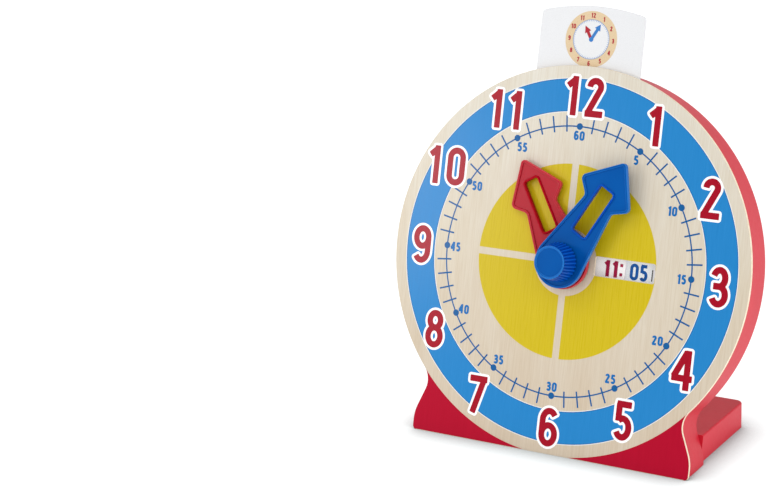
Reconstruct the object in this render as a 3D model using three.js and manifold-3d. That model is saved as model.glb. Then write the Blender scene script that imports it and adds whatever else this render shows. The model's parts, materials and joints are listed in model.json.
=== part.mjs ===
// Teaching clock: a plywood dial board on a red body that leans back on a foot. Two moulded
// hands turn on a spindle and a sleeve, each with a number dial that shows through a small
// window, and a time card stands in a slot at the top.
//
// Millimetres. X points right, Y to the back and Z up, and the origin is on the floor under
// the middle of the clock. The dial has a frame of its own: x right, y up the face, z towards
// the reader, with its origin on the face at the middle of the dial.
import * as THREE from 'three';
import Module from 'manifold-3d';
import { mergeVertices } from 'three/addons/utils/BufferGeometryUtils.js';

const wasm = await Module();
wasm.setup();

const DEGREE = Math.PI / 180;
const QUARTER = Math.PI / 2;

// Fits and fineness
const SEAT_GAP = 0.3;         // glue line, or play between two pieces that are fixed together
const SHAFT_CLEARANCE = 0.3;  // round a shaft that turns
const RUNNING_GAP = 0.5;      // between two faces that turn past each other
const CHORD_ERROR = 0.05;     // how far a facet may lie inside its arc
const SAME_POINT = CHORD_ERROR / 50;
const OVERRUN = 5;            // how far a cut runs past the piece it cuts
const EDGE_STEPS = 2;         // facets round a softened edge

// Dial board, and the body behind it, which has the same outline a little smaller
const LEAN = 15 * DEGREE;
const DISC_RADIUS = 146;
const FLOOR_TRIM = 0.8;       // how much of the disc the floor line cuts off
const BOARD_THICKNESS = 3;
const BOARD_EDGE = 0.4;
const BODY_THICKNESS = 29.5;
const BODY_INSET = 1.5;       // how far the body's sides stay in from the board's
const BODY_EDGE = 1;
const STAND_HALF_WIDTH = 115.2;
const STAND_CORNER = 3;
const SHOULDER_RADIUS = 30.6;
const SHOULDER_HEIGHT = 13.7; // where the upright side would meet the flare, above the floor line
const SHOULDER_SHARE = 0.9;   // most of the flare's length that the shoulder may round off
const FLARE = 22.4 * DEGREE;  // slope of the stand's sides away from upright
const NECK_FILLET = 16.2;

// Foot behind the body, with its screws and dowels
const FOOTPRINT_DEPTH = 118.2; // from the body's front line to the back of the foot
const FOOT_INSET = 4.5;        // how far the foot stays in from the sides of the stand
const FOOT_HEIGHT = 20.3;
const FOOT_CORNER = 6;
const FOOT_EDGE = 1.5;
const FASTENER_HEIGHT = 12.5;  // where screws and dowels leave the body's back
const SCREW_INSET = 31;        // from the foot's ends to the outer screws
const SCREW_RADIUS = 2;
const SCREW_LENGTH = 45;
const SCREW_HEAD_RADIUS = 4;
const SCREW_HEAD_HEIGHT = 2.6;
const SCREW_POINT = 4;
const SCREW_SINK = 4;          // depth of the counterbore
const DOWEL_RADIUS = 4;
const DOWEL_LENGTH = 36;
const DOWEL_CHAMFER = 1;

// Window in the board, and the pane behind it
const WINDOW_START = 24;       // from the dial's centre
const WINDOW_LENGTH = 48.5;
const WINDOW_HEIGHT = 14.4;
const WINDOW_CORNER = 1.5;
const PANE_THICKNESS = 1;
const PANE_MARGIN = 2;         // how far the pane reaches behind the board

// Time card and its slot
const SLOT_DEPTH = 27.8;       // from the top of the disc to the slot's floor
const CARD_WIDTH = 84.8;
const CARD_HEIGHT = 72;        // to the top of its crown
const CARD_CROWN = 5.5;        // rise of its curved top
const CARD_CORNER = 4;
const CARD_THICKNESS = 1.2;
const CARD_PLAY = 0.4;         // in front of and behind the card
const CARD_SIDE_PLAY = 1;

// Hands. Lengths run from the spindle, and reaches go to one side of the middle line.
const HOUR_HAND = {
  thickness: 4,
  hubRadius: 20.3,
  taper: 9.8 * DEGREE,
  waistAt: 45,
  waistFillet: 4,
  barbAt: 54.2,
  barbReach: 23.4,
  barbRound: 4,
  tipAt: 84.5,
  tipRound: 3,
  slotStart: 25.8,
  slotEnd: 66.5,
  slotHalfWidth: 5.6,
  slotCorner: 1.8,
};
const MINUTE_HAND = {
  thickness: 4.1,
  hubRadius: 19.5,
  taper: 7.6 * DEGREE,
  waistAt: 53,
  waistFillet: 4,
  barbAt: 62.5,
  barbReach: 24,
  barbRound: 4,
  tipAt: 91,
  tipRound: 3,
  slotStart: 26.3,
  slotEnd: 65.7,
  slotHalfWidth: 6.2,
  slotCorner: 1.8,
};
const HAND_EDGE = 0.6;
const RIM_WIDTH = 1.9;         // raised rim round each hand
const FRAME_WIDTH = 1.5;       // raised frame round each slot
const WEB_DROP = 1.1;          // how far the face lies below rim and frame
const SHOWN_HOUR_SHARE = 11 / 12;
const SHOWN_MINUTE_SHARE = 5 / 60;

// Knob
const KNOB_HEIGHT = 15.7;
const KNOB_BASE_RADIUS = 15;
const KNOB_TOP_RADIUS = 12.3;
const KNOB_RIM = 1.3;
const KNOB_DISH = 0.5;
const KNOB_RIBS = 32;
const RIB_STEPS = 4;
const RIB_DEPTH = 1.1;
const KNOB_SOCKET = 10;

// Spindle and sleeve, each with flats that drive its hand and its number dial
const SPINDLE_RADIUS = 3.3;
const SPINDLE_FLAT = 2.7;
const SPINDLE_SHY = 0.2;       // keeps the spindle's end inside its number dial
const SLEEVE_RADIUS = 5.5;
const SLEEVE_FLAT = 4.8;
const SHAFT_CHAMFER = 0.4;

// Bush through the board
const BUSH_RADIUS = 7.2;
const FLANGE_RADIUS = 12;
const FLANGE_THICKNESS = 1;
const NUT_THICKNESS = 1.2;
const NUT_ACROSS_FLATS = 20;
const NUT_SIDES = 6;

// Number dials, and the rings and washers between them
const DIAL_THICKNESS = 1.2;
const HOUR_DIAL_RADIUS = 46.8;
const MINUTE_DIAL_RADIUS = 72;
const POCKET_SIDE_ROOM = 3;
const POCKET_FLOOR_ROOM = 2;
const SPACER_RADIUS = 9;
const SPACER_THICKNESS = 1.1;
const RING_RADIUS = 8.5;
const RING_THICKNESS = 0.6;
const WAVE_RADIUS = 8;
const WAVE_THICKNESS = 0.4;
const WAVE_SWING = 0.3;        // each way from the washer's middle
const WAVE_COUNT = 3;
const WASHER_RADIUS = 7;
const WASHER_THICKNESS = 0.7;
const END_SCREW_RADIUS = 1.25;
const END_SCREW_LENGTH = 9;
const END_SCREW_HEAD_RADIUS = 2.8;
const END_SCREW_HEAD_HEIGHT = 1.8;
const END_SCREW_POINT = 1.5;

// Levels along the dial's z, from the knob back to the body
const HOUR_BACK = SEAT_GAP + FLANGE_THICKNESS + RUNNING_GAP;
const HOUR_FRONT = HOUR_BACK + HOUR_HAND.thickness;
const SPACER_BACK = HOUR_FRONT + RUNNING_GAP;
const SPACER_FRONT = SPACER_BACK + SPACER_THICKNESS;
const MINUTE_BACK = SPACER_FRONT + RUNNING_GAP;
const MINUTE_FRONT = MINUTE_BACK + MINUTE_HAND.thickness;
const KNOB_BACK = MINUTE_FRONT + SEAT_GAP;
const KNOB_FRONT = KNOB_BACK + KNOB_HEIGHT;
const BOARD_BACK = -BOARD_THICKNESS;
const BODY_FRONT = BOARD_BACK - SEAT_GAP;
const BODY_BACK = BOARD_BACK - BODY_THICKNESS;
const NUT_BACK = BOARD_BACK - SEAT_GAP - NUT_THICKNESS;
const HOUR_DIAL_FRONT = NUT_BACK - RUNNING_GAP;
const HOUR_DIAL_BACK = HOUR_DIAL_FRONT - DIAL_THICKNESS;
const RING_FRONT = HOUR_DIAL_BACK - SEAT_GAP;
const RING_BACK = RING_FRONT - RING_THICKNESS;
const WAVE_FRONT = RING_BACK - SEAT_GAP - WAVE_SWING;
const WAVE_BACK = WAVE_FRONT - WAVE_THICKNESS;
const MINUTE_DIAL_FRONT = WAVE_BACK - WAVE_SWING - SEAT_GAP;
const MINUTE_DIAL_BACK = MINUTE_DIAL_FRONT - DIAL_THICKNESS;
const WASHER_FRONT = MINUTE_DIAL_BACK - SEAT_GAP;
const WASHER_BACK = WASHER_FRONT - WASHER_THICKNESS;
const END_SCREW_SEAT = WASHER_BACK - SEAT_GAP;
const POCKET_FLOOR = END_SCREW_SEAT - END_SCREW_HEAD_HEIGHT - POCKET_FLOOR_ROOM;
const CARD_FRONT = BOARD_BACK - CARD_PLAY;
const CARD_BACK = CARD_FRONT - CARD_THICKNESS;

// The card stands on the floor of its slot. Heights here are above the dial's centre.
const SLOT_FLOOR = DISC_RADIUS - SLOT_DEPTH;
const CARD_BOTTOM = SLOT_FLOOR + SEAT_GAP;
const CARD_TOP = CARD_BOTTOM + CARD_HEIGHT;

// Radii of the holes that take a shaft
const BUSH_BORE = SLEEVE_RADIUS + SHAFT_CLEARANCE;
const SLEEVE_BORE = SPINDLE_RADIUS + SHAFT_CLEARANCE;
const END_SCREW_BORE = END_SCREW_RADIUS + SEAT_GAP;
const SCREW_BORE = SCREW_RADIUS + SEAT_GAP;

// The dowels stand midway between the screws.
const FOOT_HALF_WIDTH = STAND_HALF_WIDTH - FOOT_INSET;
const SCREW_SPACING = FOOT_HALF_WIDTH - SCREW_INSET;
const DOWEL_SPACING = SCREW_SPACING / 2;

// The dial stands on the floor line and leans back from the front of the footprint.
const BASE_DROP = DISC_RADIUS - FLOOR_TRIM;
const FRONT_LINE = -FOOTPRINT_DEPTH / 2;
const dial = new THREE.Group();
dial.position.set(0, FRONT_LINE + BASE_DROP * Math.sin(LEAN), BASE_DROP * Math.cos(LEAN));
dial.rotation.x = QUARTER - LEAN;
dial.updateMatrixWorld(true);
const toWorld = dial.matrixWorld;
const toDial = toWorld.clone().invert();

// Turns a three.js geometry into a solid that can be cut and joined.
function solidOf(geometry) {
  const bare = geometry.clone();
  bare.deleteAttribute('normal');
  bare.deleteAttribute('uv');
  const merged = mergeVertices(bare, SAME_POINT);
  const corners = merged.index.array;
  const kept = [];
  for (let i = 0; i < corners.length; i += 3) {
    const [a, b, c] = corners.slice(i, i + 3);
    if (a !== b && b !== c && c !== a) {
      kept.push(a, b, c);
    }
  }
  return new wasm.Manifold(new wasm.Mesh({
    numProp: 3,
    vertProperties: merged.attributes.position.array,
    triVerts: Uint32Array.from(kept),
  }));
}

function geometryOf(solid) {
  const mesh = solid.getMesh();
  const geometry = new THREE.BufferGeometry();
  geometry.setAttribute('position', new THREE.BufferAttribute(mesh.vertProperties, 3));
  geometry.setIndex(new THREE.BufferAttribute(mesh.triVerts, 1));
  return geometry;
}

function cut(geometry, ...cutters) {
  const start = solidOf(geometry);
  return geometryOf(cutters.reduce((solid, cutter) => solid.subtract(solidOf(cutter)), start));
}

function joined(first, ...others) {
  return geometryOf(others.reduce((solid, other) => solid.add(solidOf(other)), solidOf(first)));
}

// The turn between two facets on an arc of this radius.
function stepAt(radius) {
  return 2 * Math.acos(Math.max(1 - CHORD_ERROR / radius, 0));
}

function arc(x, y, radius, from, to) {
  const count = Math.max(1, Math.ceil(Math.abs(to - from) / stepAt(radius)));
  return Array.from({ length: count + 1 }, (_, i) => {
    const angle = from + (to - from) * i / count;
    return new THREE.Vector2(x + radius * Math.cos(angle), y + radius * Math.sin(angle));
  });
}

function circle(radius) {
  return arc(0, 0, radius, 0, 4 * QUARTER);
}

// A circle with one flat, at x = flat.
function flatted(radius, flat) {
  const half = Math.acos(flat / radius);
  return arc(0, 0, radius, half, 4 * QUARTER - half);
}

// Drops points that repeat, also where an outline closes on its start.
function distinct(points) {
  return points.filter((point, i) => {
    const before = points[(i + points.length - 1) % points.length];
    return point.distanceTo(before) > SAME_POINT;
  });
}

// The right half of an outline, from the bottom up, becomes a whole one.
function mirrored(half) {
  const left = half.map((point) => new THREE.Vector2(-point.x, point.y));
  return distinct([...half, ...left.reverse()]);
}

// Corners of an outline that runs anticlockwise, each with the radius of its rounding.
function corner(x, y, radius) {
  return { at: new THREE.Vector2(x, y), radius };
}

function neighbours(corners, i) {
  const here = corners[i].at;
  const before = corners[(i + corners.length - 1) % corners.length].at;
  const after = corners[(i + 1) % corners.length].at;
  return {
    here,
    arrive: here.clone().sub(before).normalize(),
    leave: after.clone().sub(here).normalize(),
  };
}

function rounded(corners) {
  return distinct(corners.flatMap(({ radius }, i) => {
    const { here, arrive, leave } = neighbours(corners, i);
    if (radius === 0) {
      return [here];
    }
    const turn = Math.atan2(arrive.cross(leave), arrive.dot(leave));
    const setback = radius * Math.tan(Math.abs(turn) / 2);
    const start = here.clone().addScaledVector(arrive, -setback);
    const side = new THREE.Vector2(-arrive.y, arrive.x).multiplyScalar(Math.sign(turn));
    const centre = start.clone().addScaledVector(side, radius);
    const from = Math.atan2(-side.y, -side.x);
    return arc(centre.x, centre.y, radius, from, from + turn);
  }));
}

// The same corners moved into the outline by a distance, or out of it if that is negative.
function inset(corners, distance) {
  return corners.map(({ radius }, i) => {
    const { here, arrive, leave } = neighbours(corners, i);
    const turn = arrive.cross(leave);
    const shift = leave.clone().sub(arrive).multiplyScalar(distance / turn);
    const moved = here.clone().add(shift);
    return corner(moved.x, moved.y, Math.max(radius - Math.sign(turn) * distance, 0));
  });
}

function rectangle(left, right, bottom, top, radius) {
  return [
    corner(right, bottom, radius),
    corner(right, top, radius),
    corner(left, top, radius),
    corner(left, bottom, radius),
  ];
}

// A flat piece between two levels, with softened edges if edge is more than 0.
function plate(outline, back, front, { edge = 0, edgeSteps = 1, holes = [] } = {}) {
  const shape = new THREE.Shape(distinct(outline));
  shape.holes = holes.map((hole) => new THREE.Path(distinct(hole)));
  const geometry = new THREE.ExtrudeGeometry(shape, {
    depth: front - back - 2 * edge,
    bevelEnabled: edge > 0,
    bevelThickness: edge,
    bevelSize: edge,
    bevelOffset: -edge,
    bevelSegments: edgeSteps,
  });
  return geometry.translate(0, 0, back + edge);
}

function block(left, right, bottom, top, back, front) {
  const geometry = new THREE.BoxGeometry(right - left, top - bottom, front - back);
  return geometry.translate((left + right) / 2, (bottom + top) / 2, (back + front) / 2);
}

// A turned piece: its profile gives radius and level, from the back axis round to the front.
function turned(profile) {
  const widest = Math.max(...profile.map(([radius]) => radius));
  const points = profile.map(([radius, level]) => new THREE.Vector2(radius, level));
  const facets = Math.ceil(4 * QUARTER / stepAt(widest));
  return new THREE.LatheGeometry(points, facets).rotateX(QUARTER);
}

function rod(radius, back, front) {
  return turned([[0, back], [radius, back], [radius, front], [0, front]]);
}

function ring(inner, outer, back, front) {
  return turned([[inner, back], [outer, back], [outer, front], [inner, front], [inner, back]]);
}

// Closes a skin over rings of points that match one for one, from the back to the front.
function skin(rings) {
  const size = rings[0].length;
  const indices = [];
  for (let r = 0; r + 1 < rings.length; r += 1) {
    for (let i = 0; i < size; i += 1) {
      const here = r * size + i;
      const next = r * size + (i + 1) % size;
      indices.push(here, next, next + size, here, next + size, here + size);
    }
  }
  const geometry = new THREE.BufferGeometry().setFromPoints(rings.flat());
  geometry.setIndex(indices);
  return geometry;
}

// What lies under the floor, in the dial's frame
function underFloor() {
  const reach = DISC_RADIUS + OVERRUN;
  return block(-reach, reach, -reach, reach, -reach, 0).applyMatrix4(toDial);
}

// The disc, its necks and the flared stand in one outline, smaller all round by a margin
function faceOutline(margin = 0) {
  const shoulder = new THREE.Vector2(STAND_HALF_WIDTH, SHOULDER_HEIGHT - BASE_DROP);
  const across = new THREE.Vector2(Math.cos(FLARE), Math.sin(FLARE));
  const down = new THREE.Vector2(Math.sin(FLARE), -Math.cos(FLARE));
  const offset = shoulder.dot(across) + NECK_FILLET;
  const drop = Math.sqrt((DISC_RADIUS + NECK_FILLET) ** 2 - offset ** 2);
  const flareLength = shoulder.dot(down) - drop;
  const neck = across.multiplyScalar(offset).addScaledVector(down, drop);
  const joint = Math.atan2(neck.y, neck.x);
  const bend = Math.tan(FLARE / 2);
  const setback = Math.min(SHOULDER_RADIUS * bend, SHOULDER_SHARE * flareLength);
  const radius = setback / bend;
  const foot = new THREE.Vector2(STAND_HALF_WIDTH - STAND_CORNER, STAND_CORNER - BASE_DROP);
  return mirrored([
    ...arc(foot.x, foot.y, STAND_CORNER - margin, -QUARTER, 0),
    ...arc(shoulder.x - radius, shoulder.y - setback, radius - margin, 0, FLARE),
    ...arc(neck.x, neck.y, NECK_FILLET + margin, 2 * QUARTER + FLARE, 2 * QUARTER + joint),
    ...arc(0, 0, DISC_RADIUS - margin, joint, QUARTER),
  ]);
}

function windowCorners() {
  const half = WINDOW_HEIGHT / 2;
  return rectangle(WINDOW_START, WINDOW_START + WINDOW_LENGTH, -half, half, WINDOW_CORNER);
}

function frontBoard() {
  const board = plate(faceOutline(), BOARD_BACK, 0, {
    edge: BOARD_EDGE,
    holes: [rounded(windowCorners()), circle(BUSH_RADIUS + SEAT_GAP)],
  });
  const rebate = rounded(inset(windowCorners(), -PANE_MARGIN - SEAT_GAP));
  const rebateFloor = BOARD_BACK + PANE_THICKNESS + SEAT_GAP;
  return cut(board, plate(rebate, BOARD_BACK - OVERRUN, rebateFloor), underFloor());
}

function windowLens() {
  const outline = rounded(inset(windowCorners(), -PANE_MARGIN));
  return plate(outline, BOARD_BACK, BOARD_BACK + PANE_THICKNESS);
}

// The height on the face at which a line square to it meets the body's back at this height.
function faceHeight(height) {
  const onBack = new THREE.Vector3(0, 0, BODY_BACK).applyMatrix4(toWorld);
  return (height - onBack.z) / Math.cos(LEAN);
}

function screwHole(x) {
  const sink = BODY_FRONT - SCREW_SINK;
  const tip = sink + SEAT_GAP - SCREW_LENGTH - SEAT_GAP;
  const hole = rod(SCREW_BORE, tip, sink + SEAT_GAP);
  const seat = rod(SCREW_HEAD_RADIUS + SEAT_GAP, sink, BODY_FRONT + OVERRUN);
  return joined(hole, seat).translate(x, faceHeight(FASTENER_HEIGHT), 0);
}

function dowelHole(x) {
  const half = DOWEL_LENGTH / 2 + SEAT_GAP;
  const hole = rod(DOWEL_RADIUS + SEAT_GAP, BODY_BACK - half, BODY_BACK + half);
  return hole.translate(x, faceHeight(FASTENER_HEIGHT), 0);
}

function fastenerHoles() {
  return [
    ...[-SCREW_SPACING, 0, SCREW_SPACING].map(screwHole),
    ...[-DOWEL_SPACING, DOWEL_SPACING].map(dowelHole),
  ];
}

// The body holds a pocket for the number dials and the card's slot, both open towards the
// board.
function body() {
  const blank = plate(faceOutline(BODY_INSET), BODY_BACK, BODY_FRONT, {
    edge: BODY_EDGE,
    edgeSteps: EDGE_STEPS,
  });
  const reach = DISC_RADIUS + OVERRUN;
  const pocket = rod(MINUTE_DIAL_RADIUS + POCKET_SIDE_ROOM, POCKET_FLOOR, BODY_FRONT + OVERRUN);
  const slotSide = CARD_WIDTH / 2 + CARD_SIDE_PLAY;
  const slotBack = CARD_BACK - CARD_PLAY;
  const slot = block(-slotSide, slotSide, SLOT_FLOOR, reach, slotBack, BODY_FRONT + OVERRUN);
  return cut(blank, pocket, slot, ...fastenerHoles(), underFloor());
}

// The foot lies in the frame of the floor. Its front is cut to the lean of the body's back.
function baseBoard() {
  const back = FRONT_LINE + FOOTPRINT_DEPTH;
  const outline = rounded(rectangle(
    -FOOT_HALF_WIDTH, FOOT_HALF_WIDTH, FRONT_LINE, back, FOOT_CORNER,
  ));
  const blank = plate(outline, -OVERRUN, FOOT_HEIGHT, { edge: FOOT_EDGE, edgeSteps: EDGE_STEPS });
  const reach = FOOT_HALF_WIDTH + OVERRUN;
  const underneath = block(-reach, reach, FRONT_LINE - OVERRUN, back + OVERRUN, -2 * OVERRUN, 0);
  const sideReach = DISC_RADIUS + OVERRUN;
  const ahead = block(
    -sideReach, sideReach, -BASE_DROP - FOOTPRINT_DEPTH, 0, BODY_BACK - SEAT_GAP, BASE_DROP,
  );
  const holes = fastenerHoles().map((hole) => hole.applyMatrix4(toWorld));
  return cut(blank, underneath, ahead.applyMatrix4(toWorld), ...holes);
}

// A screw along the dial's z, with its head to the front at the given seat
function screw(radius, length, headRadius, headHeight, point, seat) {
  return turned([
    [0, seat - length],
    [radius, seat - length + point],
    [radius, seat],
    [headRadius, seat],
    [headRadius, seat + headHeight / 2],
    [headRadius - headHeight / 2, seat + headHeight],
    [0, seat + headHeight],
  ]);
}

function baseScrew(x) {
  const seat = BODY_FRONT - SCREW_SINK + SEAT_GAP;
  const shape = screw(
    SCREW_RADIUS, SCREW_LENGTH, SCREW_HEAD_RADIUS, SCREW_HEAD_HEIGHT, SCREW_POINT, seat,
  );
  return shape.translate(x, faceHeight(FASTENER_HEIGHT), 0);
}

function baseDowel(x) {
  const back = BODY_BACK - DOWEL_LENGTH / 2;
  const front = BODY_BACK + DOWEL_LENGTH / 2;
  const shape = turned([
    [0, back],
    [DOWEL_RADIUS - DOWEL_CHAMFER, back],
    [DOWEL_RADIUS, back + DOWEL_CHAMFER],
    [DOWEL_RADIUS, front - DOWEL_CHAMFER],
    [DOWEL_RADIUS - DOWEL_CHAMFER, front],
    [0, front],
  ]);
  return shape.translate(x, faceHeight(FASTENER_HEIGHT), 0);
}

// The card's top is an arc, with its corners rounded into it.
function timeCard() {
  const half = CARD_WIDTH / 2;
  const crownRadius = (half ** 2 + CARD_CROWN ** 2) / (2 * CARD_CROWN);
  const crownCentre = CARD_TOP - crownRadius;
  const side = half - CARD_CORNER;
  const rise = Math.sqrt((crownRadius - CARD_CORNER) ** 2 - side ** 2);
  const turn = Math.atan2(rise, side);
  const outline = mirrored([
    ...arc(side, CARD_BOTTOM + CARD_CORNER, CARD_CORNER, -QUARTER, 0),
    ...arc(side, crownCentre + rise, CARD_CORNER, 0, turn),
    ...arc(0, crownCentre, crownRadius, turn, QUARTER),
  ]);
  return plate(outline, CARD_BACK, CARD_FRONT);
}

// A hand's outline: hub, tapering sides, hollow waist, two barbs and the tip.
function handCorners(hand) {
  const sideAt = (along) => {
    return (hand.hubRadius - along * Math.sin(hand.taper)) / Math.cos(hand.taper);
  };
  const right = [
    corner(sideAt(-hand.hubRadius), -hand.hubRadius, hand.hubRadius),
    corner(sideAt(hand.waistAt), hand.waistAt, hand.waistFillet),
    corner(hand.barbReach, hand.barbAt, hand.barbRound),
  ];
  const left = right.map(({ at, radius }) => corner(-at.x, at.y, radius)).reverse();
  return [...right, corner(0, hand.tipAt, hand.tipRound), ...left];
}

// A moulded hand: its face lies below a rim round the edge and a frame round the slot.
function handBlade(hand, back, shaftHole) {
  const front = back + hand.thickness;
  const corners = handCorners(hand);
  const slot = rectangle(
    -hand.slotHalfWidth, hand.slotHalfWidth, hand.slotStart, hand.slotEnd, hand.slotCorner,
  );
  const blank = plate(rounded(corners), back, front, {
    edge: HAND_EDGE,
    holes: [rounded(slot), shaftHole],
  });
  const web = plate(rounded(inset(corners, RIM_WIDTH)), front - WEB_DROP, front + OVERRUN, {
    holes: [rounded(inset(slot, -FRAME_WIDTH))],
  });
  return cut(blank, web);
}

function hourHand() {
  const hole = flatted(SLEEVE_RADIUS + SEAT_GAP, SLEEVE_FLAT + SEAT_GAP);
  return handBlade(HOUR_HAND, HOUR_BACK, hole);
}

function minuteHand() {
  const hole = flatted(SPINDLE_RADIUS + SEAT_GAP, SPINDLE_FLAT + SEAT_GAP);
  return handBlade(MINUTE_HAND, MINUTE_BACK, hole);
}

function numberDial(radius, front, shaftHole) {
  return plate(circle(radius), front - DIAL_THICKNESS, front, { holes: [shaftHole] });
}

function hourDial() {
  const hole = flatted(SLEEVE_RADIUS + SEAT_GAP, SLEEVE_FLAT + SEAT_GAP);
  return numberDial(HOUR_DIAL_RADIUS, HOUR_DIAL_FRONT, hole);
}

function minuteDial() {
  const hole = flatted(SPINDLE_RADIUS + SEAT_GAP, SPINDLE_FLAT + SEAT_GAP);
  return numberDial(MINUTE_DIAL_RADIUS, MINUTE_DIAL_FRONT, hole);
}

// One ring of the knob's side, with ribs as waves of the given depth
function ribbedRing(radius, level, depth) {
  const count = KNOB_RIBS * RIB_STEPS;
  return Array.from({ length: count }, (_, i) => {
    const angle = 4 * QUARTER * i / count;
    const reach = radius - depth * (1 - Math.cos(KNOB_RIBS * angle)) / 2;
    return new THREE.Vector3(reach * Math.cos(angle), reach * Math.sin(angle), level);
  });
}

function knob() {
  const side = skin([
    ribbedRing(0, KNOB_BACK, 0),
    ribbedRing(KNOB_BASE_RADIUS, KNOB_BACK, RIB_DEPTH),
    ribbedRing(KNOB_TOP_RADIUS, KNOB_FRONT - KNOB_RIM, RIB_DEPTH),
    ribbedRing(KNOB_TOP_RADIUS - KNOB_RIM / 2, KNOB_FRONT, 0),
    ribbedRing(KNOB_TOP_RADIUS - KNOB_RIM, KNOB_FRONT, 0),
    ribbedRing(KNOB_TOP_RADIUS - KNOB_RIM - KNOB_DISH, KNOB_FRONT - KNOB_DISH, 0),
    ribbedRing(0, KNOB_FRONT - KNOB_DISH, 0),
  ]);
  const outline = flatted(SPINDLE_RADIUS + SEAT_GAP, SPINDLE_FLAT + SEAT_GAP);
  return cut(side, plate(outline, KNOB_BACK - OVERRUN, KNOB_BACK + KNOB_SOCKET));
}

// Takes the flat off a shaft of this radius between two levels.
function flatCut(radius, flat, back, front) {
  const reach = radius + OVERRUN;
  return block(flat, reach, -reach, reach, back, front);
}

function spindle() {
  const front = KNOB_BACK + KNOB_SOCKET - SEAT_GAP;
  const back = MINUTE_DIAL_BACK + SPINDLE_SHY;
  const shaft = turned([
    [0, back],
    [SPINDLE_RADIUS - SHAFT_CHAMFER, back],
    [SPINDLE_RADIUS, back + SHAFT_CHAMFER],
    [SPINDLE_RADIUS, front - SHAFT_CHAMFER],
    [SPINDLE_RADIUS - SHAFT_CHAMFER, front],
    [0, front],
  ]);
  const holeEnd = END_SCREW_SEAT + END_SCREW_LENGTH + SEAT_GAP;
  return cut(
    shaft,
    rod(END_SCREW_BORE, back - OVERRUN, holeEnd),
    flatCut(SPINDLE_RADIUS, SPINDLE_FLAT, MINUTE_BACK - SEAT_GAP, front + OVERRUN),
    flatCut(SPINDLE_RADIUS, SPINDLE_FLAT, back - OVERRUN, MINUTE_DIAL_FRONT + SEAT_GAP),
  );
}

function hourSleeve() {
  return cut(
    ring(SLEEVE_BORE, SLEEVE_RADIUS, RING_BACK, HOUR_FRONT),
    flatCut(SLEEVE_RADIUS, SLEEVE_FLAT, HOUR_BACK - SEAT_GAP, HOUR_FRONT + OVERRUN),
    flatCut(SLEEVE_RADIUS, SLEEVE_FLAT, RING_BACK - OVERRUN, HOUR_DIAL_FRONT + SEAT_GAP),
  );
}

function spindleBush() {
  const flangeFront = SEAT_GAP + FLANGE_THICKNESS;
  return turned([
    [BUSH_BORE, NUT_BACK],
    [BUSH_RADIUS, NUT_BACK],
    [BUSH_RADIUS, SEAT_GAP],
    [FLANGE_RADIUS, SEAT_GAP],
    [FLANGE_RADIUS, flangeFront - SHAFT_CHAMFER],
    [FLANGE_RADIUS - SHAFT_CHAMFER, flangeFront],
    [BUSH_BORE, flangeFront],
    [BUSH_BORE, NUT_BACK],
  ]);
}

function bushNut() {
  const cornerRadius = NUT_ACROSS_FLATS / 2 / Math.cos(2 * QUARTER / NUT_SIDES);
  const outline = Array.from({ length: NUT_SIDES }, (_, i) => {
    const angle = 4 * QUARTER * i / NUT_SIDES;
    return new THREE.Vector2(Math.cos(angle), Math.sin(angle)).multiplyScalar(cornerRadius);
  });
  return plate(outline, NUT_BACK, NUT_BACK + NUT_THICKNESS, {
    holes: [circle(BUSH_RADIUS + SEAT_GAP)],
  });
}

// A spring washer whose ring rises and falls in waves
function frictionWasher() {
  const geometry = ring(SLEEVE_BORE, WAVE_RADIUS, WAVE_BACK, WAVE_FRONT);
  const places = geometry.attributes.position;
  for (let i = 0; i < places.count; i += 1) {
    const angle = Math.atan2(places.getY(i), places.getX(i));
    places.setZ(i, places.getZ(i) + WAVE_SWING * Math.cos(WAVE_COUNT * angle));
  }
  return geometry;
}

// The screw in the spindle's back end faces the other way, with its head to the back.
function spindleScrew() {
  const shape = screw(
    END_SCREW_RADIUS, END_SCREW_LENGTH, END_SCREW_HEAD_RADIUS, END_SCREW_HEAD_HEIGHT,
    END_SCREW_POINT, 0,
  );
  return shape.rotateX(2 * QUARTER).translate(0, 0, END_SCREW_SEAT);
}

const finishes = {
  birch: { color: 0xe3d4bd, roughness: 0.55, metalness: 0 },
  redPaint: { color: 0xb81a36, roughness: 0.4, metalness: 0 },
  bluePlastic: { color: 0x0055aa, roughness: 0.32, metalness: 0 },
  redPlastic: { color: 0xcd283c, roughness: 0.35, metalness: 0 },
  paleWood: { color: 0xd8bf95, roughness: 0.7, metalness: 0 },
  card: { color: 0xf4f2ee, roughness: 0.5, metalness: 0 },
  clear: { color: 0xf2f6f8, roughness: 0.08, metalness: 0 },
  nylon: { color: 0xe6e4dc, roughness: 0.5, metalness: 0 },
  steel: { color: 0xa8aaad, roughness: 0.35, metalness: 1 },
};

function place(parent, name, geometry, finish) {
  const mesh = new THREE.Mesh(
    geometryOf(solidOf(geometry)),
    new THREE.MeshStandardMaterial(finishes[finish]),
  );
  mesh.name = name;
  parent.add(mesh);
}

// A clock's hands turn clockwise, which is backwards about the dial's z.
function work(shownShare) {
  const group = new THREE.Group();
  group.rotation.z = -4 * QUARTER * shownShare;
  dial.add(group);
  return group;
}

const clock = new THREE.Group();
const hourWork = work(SHOWN_HOUR_SHARE);
const minuteWork = work(SHOWN_MINUTE_SHARE);
clock.add(dial);

place(clock, 'base_board', baseBoard(), 'redPaint');

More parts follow.
